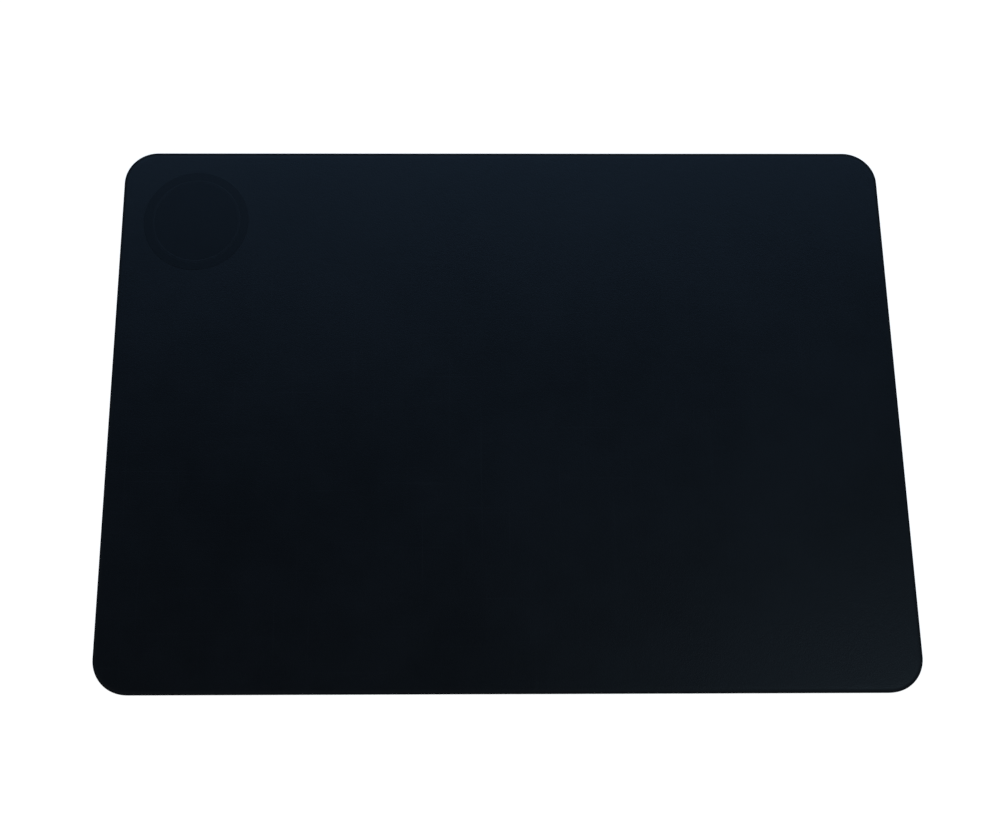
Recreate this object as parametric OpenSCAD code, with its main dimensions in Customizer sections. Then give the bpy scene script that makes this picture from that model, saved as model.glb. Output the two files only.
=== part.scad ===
// Self-healing cutting mat for leatherwork.
//
// Five plies are laminated and die-cut to one rounded outline: a soft face ply on each
// side, a semi-rigid ply behind each face, and a hard core in the middle that stops the
// blade. A plain round mark is pressed into the far left corner of the work surface and
// filled with ink, as a disc with one ring in it.
//
// Millimetres. +X runs along the long side, +Y away from the user, +Z up. The origin is
// the centre of the underside, on the bench.

/* [Outline] */
// Length of the long side
mat_length = 297; // [200:1:450]
// Length of the short side
mat_depth = 210; // [140:1:320]
// Radius of the four die-cut corners
corner_radius = 12.7; // [8:0.1:25]
// Radius that the die leaves round the outer edge of each face ply
edge_radius = 0.4; // [0.2:0.05:0.6]

/* [Plies] */
// Thickness of each soft, self-healing face ply
face_ply = 0.8; // [0.7:0.05:1.5]
// Thickness of each semi-rigid inner ply
inner_ply = 0.4; // [0.2:0.05:0.8]
// Thickness of the hard core
core_ply = 0.6; // [0.3:0.05:1.2]

/* [Corner mark] */
// Diameter of the inked disc
mark_diameter = 41; // [20:1:60]
// Gap from the mat's two nearest edges to the disc
mark_margin = 8.5; // [5:0.5:20]
// Depth that the mark is pressed into the top ply, which the ink fills
mark_depth = 0.1; // [0.05:0.05:0.3]
// Outer diameter of the ring, as a share of the disc's
ring_share = 0.84; // [0.5:0.02:0.9]
// Width of the ring
ring_width = 0.9; // [0.5:0.1:2]

/* [Hidden] */
$fn = 96;

// Heights of the faces where two plies meet, counted up from the bench.
bottom_face_z = face_ply;
core_bottom_z = bottom_face_z + inner_ply;
core_top_z = core_bottom_z + core_ply;
top_face_z = core_top_z + inner_ply;
mat_thickness = top_face_z + face_ply;

// Half the distance between the centres of the corner arcs.
arc_x = mat_length / 2 - corner_radius;
arc_y = mat_depth / 2 - corner_radius;

// Centre and radii of the mark.
mark_radius = mark_diameter / 2;
mark_x = -mat_length / 2 + mark_margin + mark_radius;
mark_y = mat_depth / 2 - mark_margin - mark_radius;
ring_outer = mark_radius * ring_share;
ring_inner = ring_outer - ring_width;

face_colour = [0.055, 0.070, 0.090];
inner_colour = [0.100, 0.110, 0.125];
core_colour = [0.170, 0.180, 0.195];
ink_colour = [0.030, 0.036, 0.045];
ring_colour = [0.075, 0.085, 0.100];

// The die's outline, drawn in by inset on every side.
module outline(inset = 0) {
    square([2 * arc_x, mat_depth - 2 * inset], center = true);
    square([mat_length - 2 * inset, 2 * arc_y], center = true);
    for (x = [-arc_x, arc_x], y = [-arc_y, arc_y])
        translate([x, y]) circle(corner_radius - inset);
}

// Half-section of a face ply's rim: square below, rounded at its outer upper edge.
module rim_section() {
    square([edge_radius, face_ply - edge_radius]);
    intersection() {
        translate([0, face_ply - edge_radius]) square(edge_radius);
        translate([0, face_ply - edge_radius]) circle(edge_radius);
    }
}

// A straight stretch of the rim, along one side that lies at distance from the centre.
module rim_side(angle, distance, half_length) {
    rotate([0, 0, angle]) translate([distance - edge_radius, half_length, 0])
        rotate([90, 0, 0]) linear_extrude(2 * half_length) rim_section();
}

// The rim round one corner, which the section sweeps as a quarter turn.
module rim_corner(x, y, angle) {
    translate([x, y, 0]) rotate([0, 0, angle]) rotate_extrude(angle = 90)
        translate([corner_radius - edge_radius, 0]) rim_section();
}

// A face ply lying on z = 0 with its rounded edge uppermost.
module face_plate() {
    linear_extrude(face_ply) outline(edge_radius);
    for (angle = [0, 180]) rim_side(angle, mat_length / 2, arc_y);
    for (angle = [90, 270]) rim_side(angle, mat_depth / 2, arc_x);
    rim_corner(arc_x, arc_y, 0);
    rim_corner(-arc_x, arc_y, 90);
    rim_corner(-arc_x, -arc_y, 180);
    rim_corner(arc_x, -arc_y, 270);
}

// A ply cut square at its edge, from one height to another.
module flat_ply(from_z, to_z) {
    translate([0, 0, from_z]) linear_extrude(to_z - from_z) outline();
}

// A round slug of the mark, flush with the work surface.
module mark_slug(radius, depth) {
    translate([mark_x, mark_y, mat_thickness - depth]) cylinder(r = radius, h = depth);
}

module top_healing_ply() {
    color(face_colour) difference() {
        translate([0, 0, top_face_z]) face_plate();
        translate([mark_x, mark_y, mat_thickness - mark_depth])
            cylinder(r = mark_radius, h = 2 * mark_depth);
    }
}

module upper_inner_ply() {
    color(inner_colour) flat_ply(core_top_z, top_face_z);
}

module hard_core_ply() {
    color(core_colour) flat_ply(core_bottom_z, core_top_z);
}

module lower_inner_ply() {
    color(inner_colour) flat_ply(bottom_face_z, core_bottom_z);
}

module bottom_healing_ply() {
    color(face_colour) translate([0, 0, face_ply]) mirror([0, 0, 1]) face_plate();
}

// The disc is printed first, with a gap for the ring.
module mark_ink_disc() {
    color(ink_colour) {
        mark_slug(ring_inner, mark_depth);
        difference() {
            mark_slug(mark_radius, mark_depth);
            translate([mark_x, mark_y, mat_thickness - 2 * mark_depth])
                cylinder(r = ring_outer, h = 4 * mark_depth);
        }
    }
}

module mark_ink_ring() {
    color(ring_colour) difference() {
        mark_slug(ring_outer, mark_depth);
        translate([mark_x, mark_y, mat_thickness - 2 * mark_depth])
            cylinder(r = ring_inner, h = 4 * mark_depth);
    }
}

top_healing_ply();
upper_inner_ply();
hard_core_ply();
lower_inner_ply();
bottom_healing_ply();
mark_ink_disc();
mark_ink_ring();
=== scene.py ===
"""Looks of a self-healing cutting mat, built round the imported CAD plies.

Metres, in the part's own frame: +X along the long side, +Y away from the user, +Z up.
Every ply is made again in mesh code: the face plies with a die-rolled rim and the inner
ones with a cut side that draws in at each glue line. The upper face isn't dead flat. The
mark is two films of ink in a pressed recess.
"""

import math

import bmesh
import bpy
import numpy as np
from mathutils import Matrix, Vector
from mathutils.geometry import delaunay_2d_cdt


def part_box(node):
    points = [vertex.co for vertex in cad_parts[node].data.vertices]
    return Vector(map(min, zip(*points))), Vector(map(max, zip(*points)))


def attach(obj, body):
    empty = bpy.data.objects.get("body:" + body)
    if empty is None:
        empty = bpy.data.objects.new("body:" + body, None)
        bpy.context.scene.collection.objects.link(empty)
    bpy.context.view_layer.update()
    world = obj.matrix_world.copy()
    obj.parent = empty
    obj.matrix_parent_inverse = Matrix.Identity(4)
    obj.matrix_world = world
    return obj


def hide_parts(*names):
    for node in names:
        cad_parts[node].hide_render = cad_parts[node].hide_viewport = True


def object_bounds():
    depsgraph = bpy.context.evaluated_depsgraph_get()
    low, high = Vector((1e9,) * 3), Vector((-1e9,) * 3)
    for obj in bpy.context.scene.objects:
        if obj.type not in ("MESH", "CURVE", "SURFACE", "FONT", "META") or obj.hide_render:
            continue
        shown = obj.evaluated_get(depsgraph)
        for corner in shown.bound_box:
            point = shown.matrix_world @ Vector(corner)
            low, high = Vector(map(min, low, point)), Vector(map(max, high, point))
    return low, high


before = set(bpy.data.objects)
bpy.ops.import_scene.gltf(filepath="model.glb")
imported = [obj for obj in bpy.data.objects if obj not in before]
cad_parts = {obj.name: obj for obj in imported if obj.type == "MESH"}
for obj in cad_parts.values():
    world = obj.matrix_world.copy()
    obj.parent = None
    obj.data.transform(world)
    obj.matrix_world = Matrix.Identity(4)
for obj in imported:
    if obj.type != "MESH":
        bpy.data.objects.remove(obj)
cad_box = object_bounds()

MM = 0.001

# ------------------------------------------------------------------ sizes from the frame

HALF_LENGTH, HALF_DEPTH, TOP_Z = cad_box[1]
FACE_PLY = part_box("bottom_healing_ply")[1].z

MARK_LOW, MARK_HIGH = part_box("mark_ink_disc")
MARK_X, MARK_Y, _ = (MARK_LOW + MARK_HIGH) / 2
MARK_RADIUS = (MARK_HIGH.x - MARK_LOW.x) / 2
MARK_DEPTH = MARK_HIGH.z - MARK_LOW.z
RING_LOW, RING_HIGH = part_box("mark_ink_ring")
RING_OUTER = (RING_HIGH.x - RING_LOW.x) / 2

# What the frame's boxes don't give, as the CAD has it.
CORNER_RADIUS = 12.7 * MM
EDGE_RADIUS = 0.4 * MM
RING_WIDTH = 0.9 * MM

RING_INNER = RING_OUTER - RING_WIDTH
ARC_X = HALF_LENGTH - CORNER_RADIUS
ARC_Y = HALF_DEPTH - CORNER_RADIUS

# -------------------------------------------------------------- how it departs from flat

FACE_SWELL = 0.12 * MM      # the soft face swells and sinks by this much over the mat
ROLL_WIDTH = 3.0 * MM       # the die rolls the face over this far in from the rim
ROLL_DROP = 0.07 * MM       # and by this much
GROOVE = 0.07 * MM          # each ply draws in by this much at its glue lines
DRIFT = 0.02 * MM           # the cut wanders in from the die's line by up to this much

CORNER_STEPS = 24           # faces round a corner
RUN_STEP = 5 * MM           # length of a face along a straight side
MARK_SEGMENTS = 96          # faces round the mark
FACE_GRID = 6 * MM          # spacing of the face's points
ROLL_STEPS = 6              # faces across the rolled rim
EDGE_STEPS = 6              # faces round the rim's edge radius
SIDE_STEPS = 5              # faces down the cut side of a face ply
SWELL_STEPS = 8             # faces down the cut side of an inner ply
FLOOR_STEPS = 6             # faces from the side of the mark's recess to its centre
SHARP_ANGLE = math.radians(40)

# Each wave of the upper face: its share of the swell, radians a metre along X and along Y,
# and its start.
FACE_WAVES = (
    (0.42, 24, 9, 0.6),
    (0.28, -15, 37, 2.1),
    (0.18, 58, 41, 4.0),
    (0.12, 83, -66, 1.2),
)
# Each wave of the cut: its share of the drift, its count round the mat, and how far a seed
# turns it.
CUT_WAVES = (
    (0.50, 5, 1.0),
    (0.30, 17, 2.3),
    (0.20, 41, 4.1),
)


def face_sink(x, y):
    """How far the soft face lies below its highest level at a point, as slow waves."""
    swell = sum(
        share * np.sin(along * x + across * y + start)
        for share, along, across, start in FACE_WAVES
    )
    return FACE_SWELL * (0.5 - 0.5 * swell)


def cut_drift(points, seed):
    """How far the cut has wandered in from the die's line at each point of an outline."""
    angle = np.arctan2(points[:, 1] / HALF_DEPTH, points[:, 0] / HALF_LENGTH)
    drift = sum(
        share * np.sin(count * angle + turn * seed) for share, count, turn in CUT_WAVES
    )
    return DRIFT * (0.5 + 0.5 * drift)


# ------------------------------------------------------------------------- mesh building


def outline(inset, seed=None):
    """Points round the die's outline drawn in by inset, anticlockwise. With a seed they
    follow the wandering cut."""
    radius = CORNER_RADIUS - inset
    arcs = []
    for quarter, (side_x, side_y) in enumerate(((1, 1), (-1, 1), (-1, -1), (1, -1))):
        turns = (quarter + np.linspace(0, 1, CORNER_STEPS + 1)) * math.pi / 2
        arcs.append(np.c_[
            side_x * ARC_X + radius * np.cos(turns),
            side_y * ARC_Y + radius * np.sin(turns),
        ])
    stretches = []
    for arc, following in zip(arcs, arcs[1:] + arcs[:1]):
        run = following[0] - arc[-1]
        steps = round(float(np.hypot(*run)) / RUN_STEP)
        shares = np.arange(1, steps)[:, None] / steps
        stretches += [arc, arc[-1] + shares * run]
    points = np.vstack(stretches)
    if seed is None:
        return points
    hub = np.clip(points, (-ARC_X, -ARC_Y), (ARC_X, ARC_Y))
    inward = (hub - points) / radius
    return points + inward * cut_drift(points, seed)[:, None]


def circle(radius):
    """Points round the mark at this radius."""
    turns = np.arange(MARK_SEGMENTS) * 2 * math.pi / MARK_SEGMENTS
    return np.c_[MARK_X + radius * np.cos(turns), MARK_Y + radius * np.sin(turns)]


INSIDE_BORDER = 1           # delaunay_2d_cdt's output type that keeps what the edges enclose
MERGE_DISTANCE = 1e-7       # points closer than this count as one


class Shell:
    """A closed piece as it is built up from loops of points. A mask on its points is 0 on
    the flat of a face and rises to 1 at its scuffed rim, which the face vinyl darkens as
    painted shade."""

    def __init__(self):
        self.points = []
        self.wear_and_shade = []
        self.faces = []
        self.slots = []

    def loop(self, flat, z, wear_and_shade=0.0):
        """Adds a loop of points at heights z and returns their numbers."""
        start = len(self.points)
        heights = np.broadcast_to(z, len(flat))
        self.points += np.c_[flat, heights].tolist()
        self.wear_and_shade += [wear_and_shade] * len(flat)
        return list(range(start, len(self.points)))

    def tip(self, x, y, z, count):
        """Adds one point that stands for a whole loop of count."""
        return self.loop(np.array([[x, y]]), z) * count

    def face(self, numbers, slot=0):
        """Adds a face, dropping a number that follows itself."""
        kept = [n for i, n in enumerate(numbers) if n != numbers[i - 1]]
        if len(kept) > 2:
            self.faces.append(kept)
            self.slots.append(slot)

    def strip(self, first, second, slot=0):
        """Joins two loops of the same count."""
        for i, number in enumerate(first):
            before = i - 1
            self.face([first[before], number, second[i], second[before]], slot)

    def fill(self, border, hole, inner):
        """Covers the face inside border and outside hole with triangles through inner."""
        numbers = border + hole + inner
        flat = [Vector(self.points[n][:2]) for n in numbers]
        edges = [(i - 1 if i else len(border) - 1, i) for i in range(len(border))]
        result = delaunay_2d_cdt(flat, edges, [], INSIDE_BORDER, MERGE_DISTANCE)
        triangles, origins = result[2], result[3]
        inside_hole = set(range(len(border), len(border) + len(hole)))
        for triangle in triangles:
            corners = [origins[i][0] for i in triangle]
            if not inside_hole.issuperset(corners):
                self.face([numbers[i] for i in corners])

    def build(self, name, node, *materials):
        """Makes the object, which stands for a CAD node."""
        mesh = bpy.data.meshes.new(name)
        mesh.from_pydata(self.points, [], self.faces)
        mesh.polygons.foreach_set("material_index", self.slots)
        mesh.polygons.foreach_set("use_smooth", [True] * len(self.faces))
        wear_and_shade = mesh.attributes.new("wear_and_shade", "FLOAT", "POINT")
        wear_and_shade.data.foreach_set("value", self.wear_and_shade)
        shaper = bmesh.new()
        shaper.from_mesh(mesh)
        bmesh.ops.recalc_face_normals(shaper, faces=shaper.faces)
        shaper.to_mesh(mesh)
        shaper.free()
        mesh.set_sharp_from_angle(angle=SHARP_ANGLE)
        for material in materials:
            mesh.materials.append(material)
        piece = bpy.data.objects.new(name, mesh)
        bpy.context.scene.collection.objects.link(piece)
        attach(piece, "root")
        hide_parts(node)
        return piece


CUT_SLOT = 1                # the cut side's place among a face ply's materials


def face_points(with_mark):
    """A grid of points over a face, kept clear of its border and of the mark."""
    clear = FACE_GRID / 2
    count_x = round(2 * HALF_LENGTH / FACE_GRID)
    count_y = round(2 * HALF_DEPTH / FACE_GRID)
    grid_x, grid_y = np.meshgrid(
        np.linspace(-HALF_LENGTH, HALF_LENGTH, count_x),
        np.linspace(-HALF_DEPTH, HALF_DEPTH, count_y),
    )
    points = np.c_[grid_x.ravel(), grid_y.ravel()]
    hub = np.clip(points, (-ARC_X, -ARC_Y), (ARC_X, ARC_Y))
    from_hub = np.hypot(*(points - hub).T)
    keep = from_hub < CORNER_RADIUS - ROLL_WIDTH - clear
    if with_mark:
        from_mark = np.hypot(points[:, 0] - MARK_X, points[:, 1] - MARK_Y)
        keep &= from_mark > MARK_RADIUS + clear
    return points[keep]


def add_recess(shell, loop):
    """Presses the recess for the mark into the top ply. Returns the loop round its mouth."""
    mouth = loop(circle(MARK_RADIUS), 0.0)
    last = loop(circle(MARK_RADIUS), MARK_DEPTH)
    shell.strip(mouth, last)
    for radius in np.linspace(MARK_RADIUS, 0, FLOOR_STEPS + 1)[1:-1]:
        following = loop(circle(radius), MARK_DEPTH)
        shell.strip(last, following)
        last = following
    centre_z = TOP_Z - MARK_DEPTH - face_sink(MARK_X, MARK_Y)
    shell.strip(last, shell.tip(MARK_X, MARK_Y, centre_z, MARK_SEGMENTS))
    return mouth


def add_rim(shell, loop, border, seed):
    """Rolls a face over from its border, rounds its edge and goes down the cut side to the
    glue line. Returns the last loop."""
    last = border
    for share in np.linspace(0, 1, ROLL_STEPS + 1)[1:]:
        inset = ROLL_WIDTH + share * (EDGE_RADIUS - ROLL_WIDTH)
        # the mask rises over the roll, where the face vinyl paints the rim's shade and dulls
        # it
        following = loop(outline(inset), ROLL_DROP * share**2, wear_and_shade=0.5 * share**2)
        shell.strip(last, following)
        last = following
    for turn in np.linspace(0, math.pi / 2, EDGE_STEPS + 1)[1:]:
        inset = EDGE_RADIUS * (1 - math.sin(turn))
        depth = ROLL_DROP + EDGE_RADIUS * (1 - math.cos(turn))
        following = loop(outline(inset, seed), depth, wear_and_shade=1 - 0.3 * math.sin(turn))
        shell.strip(last, following, CUT_SLOT)
        last = following
    side_top = ROLL_DROP + EDGE_RADIUS
    for share in np.linspace(0, 1, SIDE_STEPS + 1)[1:]:
        depth = side_top + share * (FACE_PLY - side_top)
        inset = GROOVE * share**4
        following = loop(outline(inset, seed), depth, wave=1 - share, wear_and_shade=0.5)
        shell.strip(last, following, CUT_SLOT)
        last = following
    return last


def face_ply(name, node, outward, materials, seed):
    """A soft ply whose rolled rim faces outward, 1 for the top and -1 for the underside.
    Only the top has the waves and the recess for the mark."""
    shell = Shell()
    is_top = outward > 0
    outer_z = TOP_Z if is_top else 0.0

    def loop(flat, depth, wave=1.0, wear_and_shade=0.0):
        """A loop at a depth below the outer face, with this share of the face's waves."""
        if is_top:
            depth = depth + wave * face_sink(flat[:, 0], flat[:, 1])
        return shell.loop(flat, outer_z - outward * depth, wear_and_shade)

    border = loop(outline(ROLL_WIDTH), 0.0)
    mouth = add_recess(shell, loop) if is_top else []
    shell.fill(border, mouth, loop(face_points(with_mark=is_top), 0.0))
    glued = add_rim(shell, loop, border, seed)
    shell.face(glued, CUT_SLOT)
    return shell.build(name, node, *materials)


def inner_ply(name, node, material, seed):
    """A ply that shows only at the cut side, where it swells between its glue lines."""
    low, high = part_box(node)
    shell = Shell()
    loops = []
    for share in np.linspace(0, 1, SWELL_STEPS + 1):
        inset = GROOVE * abs(2 * share - 1) ** 4
        z = high.z + share * (low.z - high.z)
        loops.append(shell.loop(outline(inset, seed), z, wear_and_shade=0.3))
    for upper, lower in zip(loops, loops[1:]):
        shell.strip(upper, lower)
    shell.face(loops[0])
    shell.face(loops[-1])
    return shell.build(name, node, material)


FILM_EDGE = 0.12 * MM       # width over which a film of ink falls away at its edge
FILM_FALL = 0.025 * MM      # and how far it falls
FILM_STEP = 3 * MM          # width of a face across the flat of a film
DISC_SUNK = 0.012 * MM      # how far the disc's ink lies below the ring's


def film_profile(inner, outer, sunk):
    """(radius, depth) pairs over a film of ink and down its sides, from inside to outside.
    The flat stops two edge widths short, so that only the edge is shaded round."""
    steps = max(1, round((outer - inner) / FILM_STEP))
    falls = ((0.0, FILM_FALL), (FILM_EDGE / 3, FILM_FALL / 3), (FILM_EDGE, 0.0))
    flat_low = inner + 2 * FILM_EDGE if inner else (outer - inner) / steps
    inner_side = [(inner, MARK_DEPTH)] + [(inner + run, sunk + fall) for run, fall in falls]
    outer_side = [(outer - run, sunk + fall) for run, fall in reversed(falls)]
    flat = [(r, sunk) for r in np.linspace(flat_low, outer - 2 * FILM_EDGE, steps + 1)]
    start = inner_side if inner else [(0.0, sunk)]
    end = [(outer, MARK_DEPTH)] if inner else [(outer, MARK_DEPTH), (0.0, MARK_DEPTH)]
    return start + flat + outer_side + end


def add_film(shell, inner, outer, sunk):
    """A closed film of ink between two radii. It fills the recess to sunk below the face."""
    loops = []
    for radius, depth in film_profile(inner, outer, sunk):
        if radius:
            flat = circle(radius)
            sink = face_sink(flat[:, 0], flat[:, 1])
            loops.append(shell.loop(flat, TOP_Z - depth - sink))
        else:
            sink = face_sink(MARK_X, MARK_Y)
            loops.append(shell.tip(MARK_X, MARK_Y, TOP_Z - depth - sink, MARK_SEGMENTS))
    for first, second in zip(loops, loops[1:]):
        shell.strip(first, second)
    if inner:
        shell.strip(loops[-1], loops[0])


# ----------------------------------------------------------------------------- materials


def tint(colour, factor):
    """A colour made darker or paler by a factor."""
    return tuple(factor * part for part in colour)


class Look:
    """A procedural material, with short ways to add the nodes that it is made of."""

    def __init__(self, name, roughness=0.5, specular=0.5):
        self.material = bpy.data.materials.new(name)
        self.material.use_nodes = True
        self.tree = self.material.node_tree
        self.surface = self.tree.nodes["Principled BSDF"]
        self.surface.inputs["Roughness"].default_value = roughness
        self.surface.inputs["Specular IOR Level"].default_value = specular
        self.place = self.tree.nodes.new("ShaderNodeTexCoord").outputs["Object"]

    def link(self, value, socket):
        """Gives a socket a fixed value or another node's output."""
        if isinstance(value, bpy.types.NodeSocket):
            self.tree.links.new(value, socket)
        else:
            socket.default_value = value

    def stretched(self, scale, turn=0.0):
        """The place on the object, in features a metre along each axis. A turn picks
        another part of the noise."""
        node = self.tree.nodes.new("ShaderNodeMapping")
        self.link(self.place, node.inputs["Vector"])
        node.inputs["Scale"].default_value = scale
        node.inputs["Rotation"].default_value = (0, 0, turn)
        return node.outputs["Vector"]

    def noise(self, size, detail=3.0, place=None):
        """Soft noise whose features are about size across."""
        node = self.tree.nodes.new("ShaderNodeTexNoise")
        self.link(place or self.place, node.inputs["Vector"])
        node.inputs["Scale"].default_value = 1 / size
        node.inputs["Detail"].default_value = detail
        return node.outputs["Fac"]

    def pebble(self, size):
        """Rounded grains about size across: 0 on a grain's crown, rising to its edge."""
        node = self.tree.nodes.new("ShaderNodeTexVoronoi")
        node.feature = "SMOOTH_F1"
        self.link(self.place, node.inputs["Vector"])
        node.inputs["Scale"].default_value = 1 / size
        node.inputs["Smoothness"].default_value = 0.35
        return node.outputs["Distance"]

    def maths(self, operation, first, second):
        """The result of one Math node on two values."""
        node = self.tree.nodes.new("ShaderNodeMath")
        node.operation = operation
        self.link(first, node.inputs[0])
        self.link(second, node.inputs[1])
        return node.outputs[0]

    def total(self, *weighted):
        """The sum of (value, weight) pairs."""
        result = None
        for value, weight in weighted:
            term = self.maths("MULTIPLY", value, weight)
            result = term if result is None else self.maths("ADD", result, term)
        return result

    def spread(self, value, low, high, to_low=0.0, to_high=1.0):
        """Maps low..high smoothly to to_low..to_high, and holds there."""
        node = self.tree.nodes.new("ShaderNodeMapRange")
        node.interpolation_type = "SMOOTHSTEP"
        self.link(value, node.inputs["Value"])
        for name, number in (
            ("From Min", low), ("From Max", high), ("To Min", to_low), ("To Max", to_high)
        ):
            node.inputs[name].default_value = number
        return node.outputs["Result"]

    def blend(self, share, first, second):
        """A colour between two, each an output or an (r, g, b)."""
        node = self.tree.nodes.new("ShaderNodeMix")
        node.data_type = "RGBA"
        self.link(share, node.inputs["Factor"])
        for colour, socket in ((first, node.inputs["A"]), (second, node.inputs["B"])):
            solid = isinstance(colour, tuple)
            self.link((*colour, 1.0) if solid else colour, socket)
        return node.outputs["Result"]

    def wear_and_shade(self):
        """How scuffed the surface is, and on the face vinyl how far its rim is darkened as
        painted shade; the mesh carries it.
        """
        node = self.tree.nodes.new("ShaderNodeAttribute")
        node.attribute_name = "wear_and_shade"
        return node.outputs["Fac"]

    def relief(self, *heights):
        """Raises the surface by each (value, metres) pair in turn."""
        normal = None
        for value, metres in heights:
            node = self.tree.nodes.new("ShaderNodeBump")
            node.inputs["Strength"].default_value = 1.0
            node.inputs["Distance"].default_value = metres
            self.link(value, node.inputs["Height"])
            if normal:
                self.link(normal, node.inputs["Normal"])
            normal = node.outputs["Normal"]
        self.link(normal, self.surface.inputs["Normal"])

    def finish(self, colour, roughness):
        """Joins colour and roughness to the shader and returns the material."""
        self.link(colour, self.surface.inputs["Base Color"])
        self.link(roughness, self.surface.inputs["Roughness"])
        return self.material


# painted shade: the near black that the rolled rim of a face is darkened towards, standing
# in for the shade along the mat's edge
RIM_PAINTED_SHADE = (0.001, 0.001, 0.001)
SMOOTHEST_VINYL = 0.305     # roughness of the face before its mottling and rubs


def face_vinyl(name, dark, light, grain, height, gloss):
    """Soft vinyl with a pressed pebble, slow mottling, fine rubs and a dull rim that is
    darkened towards near black as painted shade.
    """
    look = Look(name, specular=gloss)
    broad = look.noise(75 * MM, 2)
    patch = look.noise(11 * MM, 4)
    speck = look.noise(0.35 * MM, 2)
    pebble = look.pebble(grain)
    rubs_along = look.noise(1.0, 2, look.stretched((14, 1500, 14), turn=0.35))
    rubs_across = look.noise(1.0, 2, look.stretched((1300, 11, 14), turn=0.2))
    rubs = look.total(
        (look.spread(rubs_along, 0.62, 0.78), 0.5),
        (look.spread(rubs_across, 0.63, 0.80), 0.5),
    )
    tone = look.total((broad, 0.6), (patch, 0.2), (speck, 0.2))
    colour = look.blend(look.spread(tone, 0.36, 0.64), dark, light)
    crowns = look.spread(pebble, 0.15, 0.6, to_low=0.25, to_high=0.0)
    colour = look.blend(crowns, colour, light)
    # painted shade: the rolled rim is darkened towards near black; the same mask also dulls
    # its roughness
    rim = look.spread(look.wear_and_shade(), 0.12, 0.42)
    colour = look.blend(look.maths("MULTIPLY", rim, 0.8), colour, RIM_PAINTED_SHADE)
    uneven = look.total(
        (broad, 0.10), (patch, 0.07), (speck, 0.06), (rubs, 0.16), (rim, 0.25)
    )
    roughness = look.maths("ADD", uneven, SMOOTHEST_VINYL)
    ripple = look.noise(3.0 * MM, 3)
    look.relief((ripple, 0.02 * MM), (pebble, -height), (speck, height / 4))
    return look.finish(colour, roughness)


def cut_vinyl(name, colour, roughness, drag=0.050 * MM):
    """The side that the die cut: duller, with upright drag marks of depth drag and a few
    pale nicks. roughness is the mean."""
    look = Look(name, specular=0.06)
    patch = look.noise(6 * MM, 4)
    drags = look.noise(1.0, 3, look.stretched((2600, 2600, 260)))
    fibre = look.noise(0.15 * MM, 3)
    tone = look.spread(look.total((patch, 0.6), (drags, 0.4)), 0.35, 0.65)
    shade = look.blend(tone, tint(colour, 0.5), tint(colour, 1.2))
    nicks = look.spread(drags, 0.62, 0.75, to_low=0.0, to_high=0.45)
    nicks = look.maths("MULTIPLY", look.wear_and_shade(), nicks)
    shade = look.blend(nicks, shade, tint(colour, 2.4))
    rough = look.maths("ADD", look.total((patch, 0.12), (drags, 0.12)), roughness - 0.12)
    look.relief((drags, drag), (fibre, drag / 3))
    return look.finish(shade, rough)


def print_ink(name, colour, roughness, gloss):
    """Ink that lies over the pebble and half fills it, a little uneven in its cover.
    roughness is the mean."""
    look = Look(name, specular=gloss)
    patch = look.noise(5 * MM, 4)
    speck = look.noise(0.3 * MM, 2)
    tone = look.spread(look.total((patch, 0.6), (speck, 0.4)), 0.38, 0.62)
    shade = look.blend(tone, tint(colour, 0.8), colour)
    rough = look.maths("ADD", look.total((patch, 0.14), (speck, 0.08)), roughness - 0.11)
    look.relief((look.pebble(0.5 * MM), -0.010 * MM), (speck, 0.003 * MM))
    return look.finish(shade, rough)


# ----------------------------------------------------------------------------- the pieces


def make_mat():
    """The five plies, from the top down."""
    top = face_vinyl(
        "face_vinyl", dark=(0.0048, 0.0060, 0.0077), light=(0.0067, 0.0083, 0.0106),
        grain=0.5 * MM, height=0.020 * MM, gloss=0.40,
    )
    under = face_vinyl(
        "underside_vinyl", dark=(0.0080, 0.0095, 0.0115), light=(0.0120, 0.0140, 0.0165),
        grain=1.1 * MM, height=0.060 * MM, gloss=0.20,
    )
    side = cut_vinyl("face_vinyl_cut", (0.0075, 0.0095, 0.0125), roughness=0.62)
    inner = cut_vinyl("inner_vinyl_cut", (0.014, 0.016, 0.019), roughness=0.66)
    hard = cut_vinyl(
        "core_plastic_cut", (0.026, 0.028, 0.032), roughness=0.50, drag=0.025 * MM
    )
    top_face = face_ply("top_face", "top_healing_ply", 1, (top, side), seed=1.0)
    for name, node, material, seed, slot in (
        ("upper_inner", "upper_inner_ply", inner, 2.0, "inner_vinyl"),
        ("core", "hard_core_ply", hard, 3.0, "core_plastic"),
        ("lower_inner", "lower_inner_ply", inner, 4.0, "inner_vinyl"),
    ):
        inner_ply(name, node, material, seed)
    bottom_face = face_ply("bottom_face", "bottom_healing_ply", -1, (under, side), seed=5.0)


def make_mark():
    """The disc, inside and outside its ring, and the ring."""
    disc = Shell()
    add_film(disc, 0.0, RING_INNER, DISC_SUNK)
    add_film(disc, RING_OUTER, MARK_RADIUS, DISC_SUNK)
    disc_ink = print_ink("mark_ink", (0.0050, 0.0062, 0.0079), roughness=0.45, gloss=0.33)
    disc.build("mark_disc", "mark_ink_disc", disc_ink)
    ring = Shell()
    add_film(ring, RING_INNER, RING_OUTER, 0.0)
    ring_ink = print_ink("ring_ink", (0.0064, 0.0079, 0.0100), roughness=0.43, gloss=0.37)
    ring.build("mark_ring", "mark_ink_ring", ring_ink)


# ------------------------------------------------------------------- stage, light, camera

FLOOR_GLOW = 0.90           # the floor's own light, so that it is near white in soft light
FLOOR_HALF = 15.0           # from the floor's centre to its sides
FLOOR_Z = -0.02 * MM        # just under the mat, so that the two don't share a plane


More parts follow.
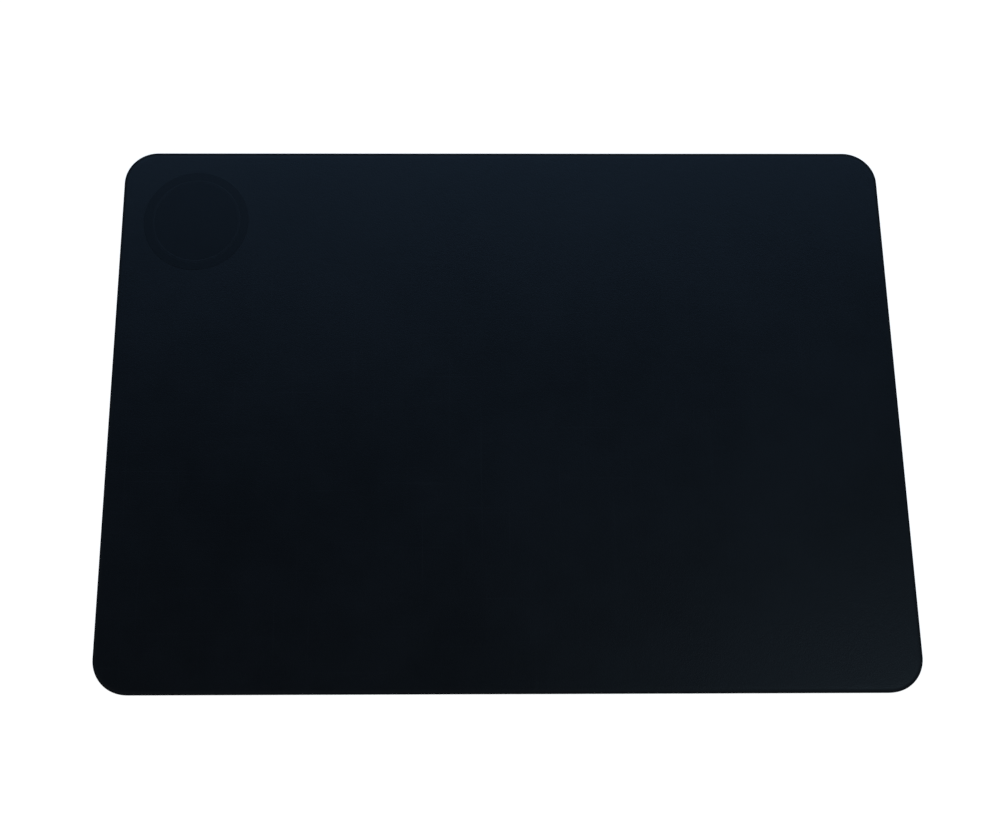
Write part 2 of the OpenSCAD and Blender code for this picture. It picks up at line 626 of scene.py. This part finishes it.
def make_floor():
    """A plain white floor."""
    look = Look("floor", roughness=0.9, specular=0.1)
    look.surface.inputs["Base Color"].default_value = (0.9, 0.9, 0.9, 1.0)
    look.surface.inputs["Emission Color"].default_value = (1.0, 1.0, 1.0, 1.0)
    look.surface.inputs["Emission Strength"].default_value = FLOOR_GLOW
    sides = ((-1, -1), (1, -1), (1, 1), (-1, 1))
    corners = [(x * FLOOR_HALF, y * FLOOR_HALF, FLOOR_Z) for x, y in sides]
    mesh = bpy.data.meshes.new("floor")
    mesh.from_pydata(corners, [], [(0, 1, 2, 3)])
    mesh.materials.append(look.material)
    floor = bpy.data.objects.new("floor", mesh)
    bpy.context.scene.collection.objects.link(floor)


def softbox(name, azimuth, elevation, distance, size, power, colour):
    """A soft light that faces the mat, in degrees, metres and watts. Azimuth 0 is beyond
    the mat's far edge and 90 is to its right."""
    turn, rise = math.radians(azimuth), math.radians(elevation)
    towards = Vector((
        math.sin(turn) * math.cos(rise), math.cos(turn) * math.cos(rise), math.sin(rise)
    ))
    lamp = bpy.data.lights.new(name, "AREA")
    lamp.shape = "RECTANGLE"
    lamp.size, lamp.size_y = size
    lamp.energy = power
    lamp.color = colour
    box = bpy.data.objects.new(name, lamp)
    box.location = towards * distance
    box.rotation_mode = "QUATERNION"
    box.rotation_quaternion = towards.to_track_quat("Z", "Y")
    bpy.context.scene.collection.objects.link(box)


SURROUND_COLOUR = (0.90, 0.96, 1.0, 1.0)
SURROUND_STRENGTH = 0.03
BACKDROP_COLOUR = (0.92, 0.92, 0.92, 1.0)


def make_world():
    """Dim surroundings for the mat to reflect, and a white backdrop for the camera."""
    world = bpy.data.worlds.new("studio")
    world.use_nodes = True
    tree = world.node_tree
    dim = tree.nodes["Background"]
    dim.inputs["Color"].default_value = SURROUND_COLOUR
    dim.inputs["Strength"].default_value = SURROUND_STRENGTH
    backdrop = tree.nodes.new("ShaderNodeBackground")
    backdrop.inputs["Color"].default_value = BACKDROP_COLOUR
    rays = tree.nodes.new("ShaderNodeLightPath")
    either = tree.nodes.new("ShaderNodeMixShader")
    tree.links.new(rays.outputs["Is Camera Ray"], either.inputs["Fac"])
    tree.links.new(dim.outputs[0], either.inputs[1])
    tree.links.new(backdrop.outputs[0], either.inputs[2])
    tree.links.new(either.outputs[0], tree.nodes["World Output"].inputs["Surface"])
    bpy.context.scene.world = world


def make_lights():
    """A long bluish box whose sheen lies over the far half of the face, a small one for the
    near right corner, and a broad weak fill from the near side."""
    softbox(
        "far_box", azimuth=0, elevation=44, distance=1.2, size=(1.8, 0.4), power=4.3,
        colour=(0.31, 0.58, 1.0),
    )
    softbox(
        "right_box", azimuth=118, elevation=56, distance=1.2, size=(0.35, 0.35), power=1.1,
        colour=(0.56, 0.80, 1.0),
    )
    softbox(
        "front_fill", azimuth=200, elevation=30, distance=1.3, size=(1.2, 0.6), power=2.7,
        colour=(0.96, 0.98, 1.0),
    )


CAMERA_SENSOR = 36.0        # width of its sensor and length of its lens, in millimetres
CAMERA_LENS = 45.1
CAMERA_YAW = math.radians(-2.10)
CAMERA_ELEVATION = math.radians(75.23)
CAMERA_ROLL = math.radians(1.95)
CAMERA_DISTANCE = 470 * MM
CAMERA_SHIFT = 0.05
CAMERA_TARGET = Vector((-20.7 * MM, -3.2 * MM, TOP_Z))
NEAREST_SEEN = 10 * MM


def make_camera():
    """A camera above the near side, which looks down on the mat a little aslant."""
    flat = math.cos(CAMERA_ELEVATION)
    back = Vector((
        math.sin(CAMERA_YAW) * flat, -math.cos(CAMERA_YAW) * flat, math.sin(CAMERA_ELEVATION)
    ))
    level = Vector((0, 0, 1)).cross(back).normalized()
    steep = back.cross(level)
    right = math.cos(CAMERA_ROLL) * level + math.sin(CAMERA_ROLL) * steep
    up = back.cross(right)
    lens = bpy.data.cameras.new("camera")
    lens.sensor_width = CAMERA_SENSOR
    lens.lens = CAMERA_LENS
    lens.shift_x = CAMERA_SHIFT
    lens.clip_start = NEAREST_SEEN
    camera = bpy.data.objects.new("camera", lens)
    turned = Matrix((right, up, back)).transposed().to_4x4()
    camera.matrix_world = Matrix.Translation(CAMERA_TARGET + back * CAMERA_DISTANCE) @ turned
    bpy.context.scene.collection.objects.link(camera)
    bpy.context.scene.camera = camera


make_mat()
make_mark()
make_floor()
make_world()
make_lights()
make_camera()
bpy.context.scene.view_settings.view_transform = "Standard"
